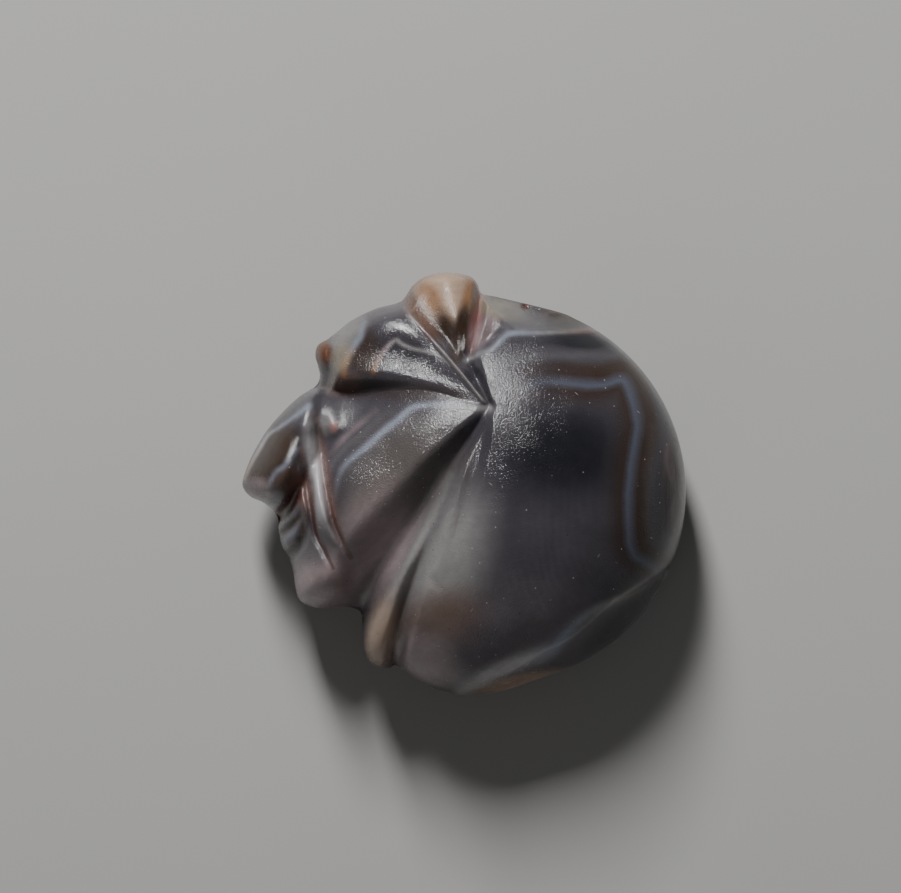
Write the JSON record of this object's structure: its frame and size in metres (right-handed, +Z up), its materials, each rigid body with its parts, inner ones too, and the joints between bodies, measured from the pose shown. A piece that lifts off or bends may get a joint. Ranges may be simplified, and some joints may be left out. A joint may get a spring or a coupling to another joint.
{
  "type": "lion head seal amulet",
  "caption": "Small carved stone amulet in the shape of a lion's head in profile, with a flat round seal face on its underside.",
  "frame": {"origin": "on the floor under the middle of the plan's bounding box, in the plane of the seal face", "axes": "+X towards the back of the mane, away from the nose; +Y towards the ear; +Z up, out of the carved side"},
  "size_m": [0.024, 0.023, 0.0114],
  "materials": {
    "banded_agate": "worn polish, banded agate, slightly translucent"
  },
  "bodies": {
    "root": {"lion_head_seal": "banded_agate"}
  },
  "joints": []
}
